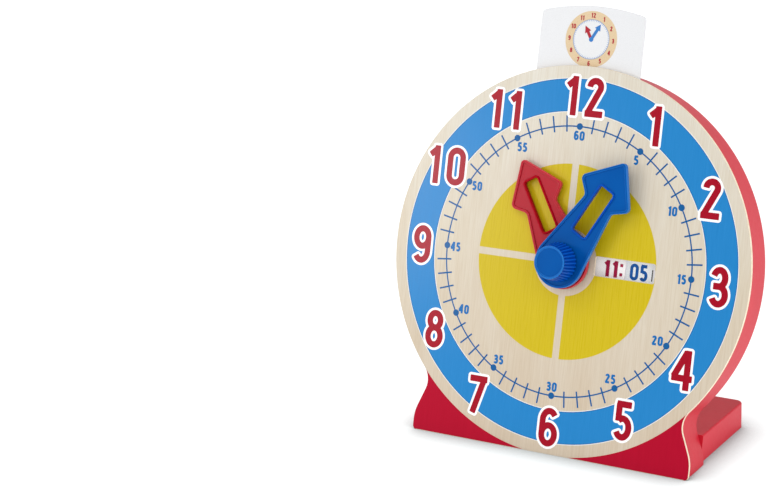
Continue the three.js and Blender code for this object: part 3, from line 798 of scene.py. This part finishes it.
def stroke_cells(path, closed, half, radius, spread):
    """Cells of a stroke with rounded ends. A spread makes it wider and longer all round."""
    wide = half + spread
    cells = [bar_cell(a, b, wide) for a, b in zip(path, path[1:])]
    joints = list(zip(cells, cells[1:], path[1:]))
    if closed:
        joints.append((cells[-1], cells[0], path[0]))
    for before, after, here in joints:
        right = [here, before[1], after[0]]
        left = [here, after[3], before[2]]
        cells += [cell for cell in (right, left) if signed_area(cell) > 0]
    if not closed:
        cells.append(end_cell(path[-1], path[-1] - path[-2], wide, radius + spread))
        cells.append(end_cell(path[0], path[0] - path[1], wide, radius + spread))
    return cells


def signed_area(cell):
    return sum(cell[i - 1].cross(point) for i, point in enumerate(cell)) / 2


def end_cell(end, direction, half, radius):
    heading = math.atan2(direction.y, direction.x)
    side = Vector((-math.sin(heading), math.cos(heading))) * (half - radius)
    right = end - side
    left = end + side
    return [
        *arc(right.x, right.y, radius, heading - QUARTER, heading, INK_CHORD_ERROR),
        *arc(left.x, left.y, radius, heading, heading + QUARTER, INK_CHORD_ERROR),
    ]


def bow(x, y, reach_x, reach_y, start, end):
    """Part of an oval, from one angle in degrees to another"""
    count = max(1, math.ceil(abs(end - start) / BOW_STEP))
    angles = [math.radians(start + (end - start) * i / count) for i in range(count + 1)]
    return [(x + reach_x * math.cos(a), y + reach_y * math.sin(a)) for a in angles]


def digit_shares(digit, end):
    """Strokes of a digit as shares of half the height between its outer strokes' middles.

    An upright or level stroke runs out to end, which is a little past 1.
    """
    six = [*bow(0, 0.42, 0.435, 0.58, 38, 180), *bow(0, -0.445, 0.435, 0.555, 180, 540)]
    strokes = {
        "0": [[
            *bow(0, 0.56, 0.44, 0.44, 0, 180),
            *bow(0, -0.56, 0.44, 0.44, 180, 360),
            (0.44, 0.56),
        ]],
        "1": [[(0.19, -end), (0.19, end)], [(0.215, 1.03), (-0.25, 0.615)]],
        "2": [
            [*bow(-0.028, 0.6375, 0.3625, 0.3625, 176, -26), (-0.42, -1)],
            [(-0.555, -1), (0.555, -1)],
        ],
        "3": [
            [*bow(-0.032, 0.518, 0.355, 0.482, 160, -90), (-0.34, 0.036)],
            [(-0.2, 0.036), *bow(0, -0.482, 0.41, 0.518, 90, -152)],
        ],
        "4": [
            [(0.215, 1.08), (-0.5, -0.4)],
            [(-0.615, -0.488), (0.625, -0.488)],
            [(0.31, end), (0.31, -end)],
        ],
        "5": [
            [(-0.45, 1), (0.43, 1)],
            [(-0.32, 1), (-0.32, 0)],
            bow(-0.02, -0.43, 0.41, 0.57, 128, -148),
        ],
        "6": [six],
        "7": [[(-0.565, 1), (0.565, 1)], [(0.385, 1.04), (-0.24, -1.12)]],
        "8": [bow(-0.008, 0.54, 0.375, 0.46, 270, -90), bow(0, -0.46, 0.435, 0.54, 90, 450)],
        "9": [[(-x, -y) for x, y in six]],
    }
    return strokes[digit]


def digit_width(digit, sizes):
    unit = (sizes["height"] - sizes["stroke"]) / 2
    return DIGIT_WIDTHS[int(digit)] * unit + sizes["stroke"]


def text_width(text, sizes):
    return sum(digit_width(digit, sizes) for digit in text) + sizes["gap"] * (len(text) - 1)


def text_cells(text, sizes, spread=0.0):
    """Cells of a line of digits round its own middle"""
    unit = (sizes["height"] - sizes["stroke"]) / 2
    half = sizes["stroke"] / 2
    end = 1 + (half - sizes["round"]) / unit
    left = -text_width(text, sizes) / 2
    cells = []
    for digit in text:
        width = digit_width(digit, sizes)
        middle = Vector((left + width / 2, 0))
        for stroke in digit_shares(digit, end):
            path = [middle + Vector(point) * unit for point in stroke]
            closed = (path[0] - path[-1]).length < SAME_POINT
            cells += stroke_cells(path, closed, half, sizes["round"], spread)
        left += width + sizes["gap"]
    return cells


def clock_angle(share):
    """Where a share of a full turn lies on a dial, as an angle from x"""
    return QUARTER - TURN * share


def on_dial(radius, share):
    angle = clock_angle(share)
    return Vector((radius * math.cos(angle), radius * math.sin(angle), 0))


def numerals(shifts, step, sizes, radius, spread=0.0):
    """The twelve numbers round a dial as flat regions, each with its shifted place"""
    placed = []
    for count, shift in enumerate(shifts, 1):
        place = on_dial(radius, count / len(shifts)) + Vector((*shift, 0)) * SHIFT_UNIT
        flat = region(text_cells(str(count * step), sizes, spread))
        placed.append((flat, Matrix.Translation(place)))
    return placed


def track_cells(radius, width, tick_start, tick_end, tick_width, dot_radius=0.0):
    """A ring with a tick at each minute, or a dot at each fifth if that has a radius"""
    cells = ring_cells(radius - width / 2, radius + width / 2)
    for minute in range(MINUTES):
        share = minute / MINUTES
        if dot_radius and minute % MINUTE_STEP == 0:
            dot = on_dial(radius, share)
            cells.append(circle(dot_radius, dot.x, dot.y, INK_CHORD_ERROR))
        else:
            start, end = [on_dial(reach, share).to_2d() for reach in (tick_start, tick_end)]
            cells.append(bar_cell(start, end, tick_width / 2))
    return cells


def ring_edges(outwards, inwards):
    """Thin lines along both edges of the blue ring, from some way outside it to some way in"""
    inner = ring_cells(BLUE_INNER - outwards, BLUE_INNER + inwards)
    outer = ring_cells(BLUE_OUTER - inwards, BLUE_OUTER + outwards)
    return ink([(region(inner), Matrix()), (region(outer), Matrix())], LINE_INK)


def yellow_quarters():
    reach = YELLOW_OUTER + OVERRUN
    cross = [bar_cell(-end, end, YELLOW_GAP) for end in (Vector((0, reach)), Vector((reach, 0)))]
    gaps = [*cross, window_outline(YELLOW_WINDOW_GAP)]
    return printed(ring_cells(YELLOW_INNER, YELLOW_OUTER), RING_INK, gaps)


def stand_paint():
    """Red over the board outside the disc"""
    outline = shrunk(face_outline(), BOARD_EDGE)
    return above_floor(printed([outline], RING_INK, [circle(DISC_RADIUS)]))


def number_places():
    """Counts of a dial's twelve numbers and their turns, each shown when its hand is there"""
    for number in range(HOURS):
        yield number, Matrix.Rotation(TURN * number / HOURS, 4, "Z")


def window_hours():
    placed = []
    for number, turn in number_places():
        text = str(number or HOURS)
        colon_start = WINDOW_HOUR_END - COLON_SIZE
        middle = colon_start - COLON_GAP - text_width(text, WINDOW_HOUR_TEXT) / 2
        place = turn @ Matrix.Translation((middle, -WINDOW_HOUR_DROP, 0))
        placed.append((region(text_cells(text, WINDOW_HOUR_TEXT)), place))
        for height in (-COLON_SPREAD / 2, COLON_SPREAD / 2):
            start = Vector((colon_start, height - WINDOW_HOUR_DROP))
            dot = bar_cell(start, start + Vector((COLON_SIZE, 0)), COLON_SIZE / 2)
            placed.append((region([dot]), turn))
    return placed


def window_minutes():
    placed = []
    for number, turn in number_places():
        text = f"{number * MINUTE_STEP:02d}"
        place = turn @ Matrix.Translation((WINDOW_MINUTE_MIDDLE, -WINDOW_MINUTE_DROP, 0))
        placed.append((region(text_cells(text, WINDOW_MINUTE_TEXT)), place))
    return placed


def window_ticks():
    middle = Vector((WINDOW_TICK_RADIUS, -WINDOW_TICK_DROP))
    half = Vector((0, WINDOW_TICK_HALF_HEIGHT))
    tick = region([bar_cell(middle - half, middle + half, WINDOW_TICK_WIDTH / 2)])
    return [(tick, turn) for _, turn in number_places()]


def dial_ink(placed, front):
    """Ink on a number dial, whose front lies at a level of its own"""
    lifted = [(flat, Matrix.Translation((0, 0, front)) @ place) for flat, place in placed]
    return ink(lifted, LINE_INK)


def card_hand(sizes, share):
    """Small arrow that points to a share of a turn"""
    heading = clock_angle(share)
    along = Vector((math.cos(heading), math.sin(heading)))
    side = Vector((-along.y, along.x))
    neck = along * sizes["length"]
    shaft = bar_cell(Vector((0, 0)), neck, CARD_HAND_HALF_WIDTH)
    head = [
        neck - side * sizes["head_half_width"],
        neck + along * sizes["head"],
        neck + side * sizes["head_half_width"],
    ]
    return [shaft, head]


# Materials


def linear(color):
    """A colour of the screen as the shader's linear numbers"""
    shares = Color([value / SCREEN_MAXIMUM for value in color])
    return (*shares.from_srgb_to_scene_linear(), 1)


def feed(tree, node, **inputs):
    """Sets a node's inputs to values, or joins them to the outputs of other nodes."""
    for label, value in inputs.items():
        target = node.inputs[label.replace("_", " ")]
        if isinstance(value, bpy.types.NodeSocket):
            tree.links.new(value, target)
        else:
            target.default_value = value


def add_node(tree, kind, **inputs):
    node = tree.nodes.new("ShaderNode" + kind)
    feed(tree, node, **inputs)
    return node


finishes = {}


class Finish:
    """A material in the making, listed by its name, with short calls for its nodes"""

    def __init__(self, name, roughness, **inputs):
        finishes[name] = bpy.data.materials.new(name)
        finishes[name].use_nodes = True
        self.tree = finishes[name].node_tree
        self.roughness = roughness
        self.set(Roughness=roughness, **inputs)

    def set(self, **inputs):
        feed(self.tree, self.tree.nodes["Principled BSDF"], **inputs)

    def add(self, kind, **inputs):
        return add_node(self.tree, kind, **inputs)

    def height(self, low, high):
        """How far up the piece, as a share of the way from one height to another"""
        place = self.add("TexCoord").outputs["Object"]
        height = self.add("SeparateXYZ", Vector=place).outputs["Y"]
        return self.add("MapRange", Value=height, From_Min=low, From_Max=high).outputs["Result"]

    def noise(self, scale, detail, stretch=(1, 1, 1), distortion=0.0):
        place = self.add("TexCoord").outputs["Object"]
        spot = self.add("Mapping", Vector=place, Scale=stretch).outputs["Vector"]
        noise = self.add("TexNoise", Vector=spot, Scale=scale, Detail=detail, Distortion=distortion)
        return noise.outputs["Fac"]

    def shades(self, fac, *stops):
        """A ramp of colours, each at a share of the way along"""
        node = self.add("ValToRGB", Fac=fac)
        elements = node.color_ramp.elements
        for share, _ in stops[1:-1]:
            elements.new(share)
        for element, (share, color) in zip(elements, stops):
            element.position = share
            element.color = linear(color)
        return node.outputs["Color"]

    def times(self, first, second, share=1.0):
        """One colour darkened by another, by a share"""
        node = self.add("Mix")
        node.data_type = "RGBA"
        node.blend_type = "MULTIPLY"
        feed(self.tree, node, Factor=share, A=first, B=second)
        return node.outputs["Result"]

    def gloss(self, fac, less, more):
        """A roughness that varies round the finish's own"""
        low, high = self.roughness - less, self.roughness + more
        rough = self.add("MapRange", Value=fac, To_Min=low, To_Max=high)
        self.set(Roughness=rough.outputs["Result"])

    def done(self, color, fac, relief, less=0.0, more=0.0):
        """Sets the colour, and a bump and a gloss that follow a noise."""
        if more:
            self.gloss(fac, less, more)
        bump = self.add("Bump", Height=fac, Distance=relief)
        self.set(Base_Color=color, Normal=bump.outputs["Normal"])


def birch():
    """Pale lacquered veneer whose grain runs up the face, paler and greyer towards the top, a
    painted sheen
    """
    finish = Finish("birch_face", 0.3, Specular_IOR_Level=0.25)
    fine = finish.noise(GRAIN_SCALE, detail=5, stretch=GRAIN_STRETCH, distortion=0.5)
    broad = finish.noise(scale=45, detail=4, stretch=(1, 0.16, 1), distortion=0.8)
    # Painted sheen: the tone is paler and greyer towards the top of the face.
    height = finish.height(-DISC_RADIUS, DISC_RADIUS)
    tone = finish.shades(
        height, (0, (205, 190, 171)), (0.5, (213, 203, 186)), (1, (218, 213, 202)),
    )
    cloud = finish.shades(broad, (0.3, (249, 245, 240)), (0.7, WHITE))
    grain = finish.shades(fine, (0.35, (238, 231, 219)), (0.62, WHITE))
    color = finish.times(finish.times(tone, cloud), grain, share=0.5)
    finish.done(color, fine, relief=0.00003, less=0.04, more=0.06)


def plywood_edge():
    """Cut edge of the board, with the plies one above the other"""
    finish = Finish("plywood_edge", 0.6)
    plies = finish.noise(scale=900, detail=1, stretch=(0.1, 0.1, 1))
    fibre = finish.noise(scale=500, detail=3, stretch=(1, 1, 3))
    tone = finish.shades(
        plies, (0.35, (236, 218, 188)), (0.5, (252, 242, 222)), (0.65, (244, 230, 202)),
    )
    speck = finish.shades(fibre, (0.3, (228, 214, 190)), (0.6, WHITE))
    finish.done(finish.times(tone, speck, share=0.6), fibre, relief=0.00004)


def ink_finish(name, color, dark, roughness=0.22, specular=0.2):
    """Printed ink, under the lacquer, with a trace of the grain below"""
    finish = Finish(name, roughness, Specular_IOR_Level=specular)
    grain = finish.noise(GRAIN_SCALE, detail=4, stretch=GRAIN_STRETCH, distortion=0.5)
    tone = finish.shades(grain, (0.2, dark), (0.75, color))
    finish.done(tone, grain, relief=0.00001, less=0.04, more=0.08)


def red_paint():
    """Sprayed paint, with the faint unevenness of its film"""
    finish = Finish("red_paint", 0.42, Specular_IOR_Level=0.35)
    film = finish.noise(scale=350, detail=3)
    cloud = finish.noise(scale=25, detail=2)
    tone = finish.shades(cloud, (0.3, (204, 22, 46)), (0.7, (212, 28, 52)))
    finish.done(tone, film, relief=0.00002, less=0.05, more=0.08)


def plastic(name, color, dark, roughness=0.24, tint=WHITE, specular=0.3):
    """Moulded plastic with a fine spark texture"""
    finish = Finish(name, roughness, Specular_IOR_Level=specular, Specular_Tint=linear(tint))
    spark = finish.noise(scale=2500, detail=2)
    flow = finish.noise(scale=40, detail=2, stretch=(1, 0.3, 1), distortion=0.6)
    tone = finish.shades(flow, (0.25, dark), (0.7, color))
    finish.done(tone, spark, relief=0.000008, less=0.04, more=0.06)


def coated_card(name, color, dark, glow=0.0, specular=0.3):
    """White card under a thin coat. A glow is painted light that brightens the card where it lies
    in shade.
    """
    finish = Finish(name, 0.45, Specular_IOR_Level=specular, Emission_Strength=glow)
    fibre = finish.noise(scale=1400, detail=4)
    tone = finish.shades(fibre, (0.3, dark), (0.6, color))
    finish.done(tone, fibre, relief=0.000006, less=0.05, more=0.07)


def clear_plastic():
    finish = Finish("clear_pane", 0.06, Base_Color=linear((70, 74, 78)), Alpha=0.05)
    finish.gloss(finish.noise(scale=120, detail=2), less=0.02, more=0.03)


def bare_wood():
    finish = Finish("dowel_wood", 0.65)
    grain = finish.noise(scale=700, detail=3, stretch=(1, 1, 0.05))
    tone = finish.shades(grain, (0.3, (196, 160, 112)), (0.7, (224, 196, 150)))
    finish.done(tone, grain, relief=0.00003)


def zinc():
    finish = Finish("zinc_plate", 0.32, Metallic=1.0)
    brush = finish.noise(scale=1500, detail=2, stretch=(1, 1, 0.2))
    tone = finish.shades(brush, (0.3, (168, 171, 176)), (0.7, (205, 208, 212)))
    finish.done(tone, brush, relief=0.000004, less=0.06, more=0.08)


birch()
plywood_edge()
ink_finish("stand_red", (176, 4, 42), (168, 2, 38), roughness=0.32, specular=0.1)
ink_finish("ring_blue", (36, 129, 194), (30, 123, 188))
ink_finish("edge_blue", (22, 96, 160), (18, 90, 154))
ink_finish("pale_ink", (238, 240, 236), (226, 226, 220))
ink_finish("yellow_ink", (203, 180, 22), (196, 172, 16), roughness=0.26)
ink_finish("track_blue", (20, 92, 152), (14, 84, 144))
ink_finish("numeral_blue", (22, 108, 176), (16, 100, 168))
ink_finish("border_white", (250, 249, 250), (242, 240, 242))
ink_finish("numeral_red", (163, 4, 34), (154, 2, 29))
plastic("blue_plastic", (0, 81, 160), (0, 74, 151), tint=BLUE_TINT)
# Deeper and paler copies of the blue plastic: painted shade for walls, and painted highlights for
# edges and crests
plastic("blue_painted_shade", (0, 74, 176), (0, 68, 168), tint=BLUE_TINT)
plastic("blue_painted_highlight", (40, 118, 200), (32, 110, 190), tint=BLUE_TINT)
plastic("blue_crest_painted_highlight", (10, 92, 200), (6, 86, 190), tint=BLUE_TINT)
plastic("red_plastic", (176, 24, 42), (166, 18, 36), specular=0.2)
# Deeper and paler copies of the red plastic: painted shade for walls, and painted highlight for
# edges
plastic("red_painted_shade", (168, 0, 26), (158, 0, 22), specular=0.05)
plastic("red_painted_highlight", (212, 56, 70), (204, 48, 62))
plastic("nylon", (236, 234, 228), (226, 224, 216), roughness=0.45)
coated_card("card_white", (224, 224, 226), (219, 219, 221))
coated_card("card_tan", (218, 194, 158), (208, 182, 144))
coated_card("card_red", (170, 24, 44), (160, 18, 38))
coated_card("card_blue", (50, 120, 190), (42, 110, 180))
# The number cards glow: painted light against the shade of the window over them.
coated_card("hour_card", (250, 244, 244), (244, 238, 238), glow=0.15)
coated_card("minute_card", (243, 248, 250), (237, 243, 247), glow=0.15)
coated_card("window_red", (172, 4, 66), (160, 2, 60), specular=0.1)
coated_card("window_blue", (16, 98, 186), (8, 90, 176), specular=0.1)
coated_card("tick_grey", (84, 86, 84), (72, 74, 72), specular=0.1)
red_paint()
clear_plastic()
bare_wood()
zinc()

# The CAD nodes that stay get their finish here.
kept_nodes = {
    "zinc_plate": [
        "base_screw_left", "base_screw_middle", "base_screw_right", "sleeve_ring",
        "friction_washer", "dial_washer", "spindle_screw",
    ],
    "dowel_wood": ["base_dowel_left", "base_dowel_right"],
    "nylon": ["spindle_bush", "bush_nut", "hand_spacer"],
    "red_plastic": ["hour_sleeve"],
    "blue_plastic": ["spindle"],
    "hour_card": ["hour_dial"],
    "minute_card": ["minute_dial"],
}
for look, nodes in kept_nodes.items():
    for node in nodes:
        materials = frame["nodes"][node].data.materials
        materials.clear()
        materials.append(finishes[look])

# Board, body, foot and pane
make_piece(
    "board", front_board(), ["birch_face", "plywood_edge", "stand_red"], "stand",
    replaces=["front_board"], choose=board_finish,
)
make_piece("painted_body", body(), ["red_paint"], "stand", replaces=["body"])
make_piece(
    "painted_foot", base_board(), ["red_paint"], "stand",
    place=Matrix(), replaces=["base_board"],
)
make_piece("pane", pane(), ["clear_pane"], "stand", replaces=["window_lens"])

# Print on the board
track = track_cells(TRACK_RADIUS, TRACK_WIDTH, TICK_START, TICK_END, TICK_WIDTH, DOT_RADIUS)
minute_text = numerals(MINUTE_SHIFTS, MINUTE_STEP, MINUTE_TEXT, MINUTE_RADIUS)
hour_text = numerals(HOUR_SHIFTS, 1, HOUR_TEXT, HOUR_RADIUS)
hour_text_border = numerals(HOUR_SHIFTS, 1, HOUR_TEXT, HOUR_RADIUS, HOUR_BORDER)
board_print = {
    "stand_paint": (stand_paint(), "stand_red"),
    "blue_ring": (printed(ring_cells(BLUE_INNER, BLUE_OUTER), RING_INK), "ring_blue"),
    "ring_pale_lines": (ring_edges(PALE_LINE, 0), "pale_ink"),
    "ring_dark_lines": (ring_edges(0, DARK_LINE), "edge_blue"),
    "yellow_quarters": (yellow_quarters(), "yellow_ink"),
    "minute_track": (printed(track, LINE_INK), "track_blue"),
    "minute_numerals": (ink(minute_text, LINE_INK), "numeral_blue"),
    "hour_borders": (ink(hour_text_border, BORDER_INK), "border_white"),
    "hour_numerals": (ink(hour_text, NUMERAL_INK), "numeral_red"),
}
for name, (shape, look) in board_print.items():
    make_piece(name, shape, [look], "stand")

# Hands and knob. Their walls are painted deeper in colour than their faces, a painted shade, and
# their edges paler, a painted highlight.
reds = ["red_plastic", "red_painted_shade", "red_painted_highlight"]
blues = ["blue_plastic", "blue_painted_shade", "blue_painted_highlight"]
make_piece(
    "red_hand", hand(RED_HAND), reds, "hour_works",
    place=WORKS["hour_works"], replaces=["hour_hand"], choose=partial(hand_finish, RED_HAND),
)
make_piece(
    "blue_hand", hand(BLUE_HAND), blues, "minute_works",
    place=WORKS["minute_works"], replaces=["minute_hand"],
    choose=partial(hand_finish, BLUE_HAND),
)
make_piece(
    "ribbed_knob", knob(), [*blues, "blue_crest_painted_highlight"], "minute_works",
    place=WORKS["minute_works"], replaces=["knob"], choose=knob_finish,
)

# Numbers on the two dials behind the window
dial_print = {
    "hour_numbers": (window_hours(), HOUR_DIAL_FRONT, "window_red", "hour_works"),
    "minute_numbers": (window_minutes(), MINUTE_DIAL_FRONT, "window_blue", "minute_works"),
    "minute_ticks": (window_ticks(), MINUTE_DIAL_FRONT, "tick_grey", "minute_works"),
}
for name, (placed, front, look, works) in dial_print.items():
    make_piece(
        name, dial_ink(placed, front), [look], works, place=WORKS[works],
    )

# Time card with its small clock
make_piece("card", card(), ["card_white"], "card", replaces=["time_card"])
card_track = track_cells(
    CARD_RING_INNER, CARD_TRACK_WIDTH, CARD_TICK_START, CARD_RING_INNER, CARD_TICK_WIDTH,
)
card_text = numerals([(0, 0)] * HOURS, 1, CARD_TEXT, CARD_RADIUS)
card_hour_hand = card_hand(CARD_HOUR_HAND, SHOWN_HOUR_SHARE)
card_pivot = circle(CARD_PIVOT_RADIUS, error=INK_CHORD_ERROR)
card_minute_hand = [*card_hand(CARD_MINUTE_HAND, SHOWN_MINUTE_SHARE), card_pivot]
card_print = {
    "card_ring": (printed(ring_cells(CARD_RING_INNER, CARD_RING_OUTER), RING_INK), "card_tan"),
    "card_ticks": (printed(card_track, LINE_INK), "card_blue"),
    "card_numerals": (ink(card_text, LINE_INK), "card_red"),
    "card_hour_hand": (printed(card_hour_hand, BORDER_INK), "card_red"),
    "card_minute_hand": (printed(card_minute_hand, NUMERAL_INK), "card_blue"),
}
card_place = DIAL @ Matrix.Translation((0, CARD_CLOCK_HEIGHT, CARD_FRONT))
for name, (shape, look) in card_print.items():
    make_piece(name, shape, [look], "card", place=card_place)


# Floor, room, lights and camera


def white_floor():
    """White table under so much light that only the shade close to the clock shows; that shade is
    painted, from how open the floor lies
    """
    corners = [(-1, -1), (1, -1), (1, 1), (-1, 1)]
    verts = [(x * FLOOR_REACH, y * FLOOR_REACH, 0) for x, y in corners]
    mesh = mesh_of("floor", (verts, [range(len(verts))]))
    finish = Finish("floor", FLOOR_ROUGHNESS, Base_Color=FLOOR_COLOR, Specular_IOR_Level=0.0)
    # Painted shade: the floor's glow is dimmed where a piece lies close to it.
    openness = finish.add("AmbientOcclusion", Distance=FLOOR_SHADE_REACH)
    openness.samples = FLOOR_SHADE_SAMPLES
    glow = finish.add("MapRange", Value=openness.outputs["AO"], **FLOOR_GLOW)
    finish.set(Emission_Strength=glow.outputs["Result"])
    mesh.materials.append(finishes["floor"])
    floor = new_object("floor", mesh)


def studio_world():
    """Light grey room behind the clock and a darker one in front of it"""
    world = bpy.data.worlds.new("studio")
    world.use_nodes = True
    tree = world.node_tree
    direction = add_node(tree, "TexCoord").outputs["Generated"]
    depth = add_node(tree, "SeparateXYZ", Vector=direction).outputs["Y"]
    glow = add_node(tree, "MapRange", Value=depth, **ROOM_GLOW).outputs["Result"]
    feed(tree, tree.nodes["Background"], Color=linear(WHITE), Strength=glow)
    scene.world = world


def add_light(name, kind, place, size, power):
    """A disc of a size in metres, or a far light of a size in degrees, aimed at the clock"""
    data = bpy.data.lights.new(name, kind)
    data.energy = power
    if kind == "SUN":
        data.angle = math.radians(size)
    else:
        data.shape = "DISK"
        data.size = size
    light = new_object(name, data)
    light.location = place
    light.rotation_euler = (Vector(LAMP_AIM) - light.location).to_track_quat("-Z", "Y").to_euler()


white_floor()
studio_world()
scene.view_settings.view_transform = "Standard"
for name, values in LIGHTS.items():
    add_light(name, *values)

camera_data = bpy.data.cameras.new("camera")
camera_data.lens = CAMERA_LENS
camera = new_object("camera", camera_data)
scene.camera = camera
camera.matrix_world = (
    Matrix.Translation(CAMERA_PLACE)
    @ Matrix.Rotation(CAMERA_AZIMUTH, 4, "Z")
    @ Matrix.Rotation(QUARTER - CAMERA_ELEVATION, 4, "X")
    @ Matrix.Rotation(-CAMERA_ROLL, 4, "Z")
)
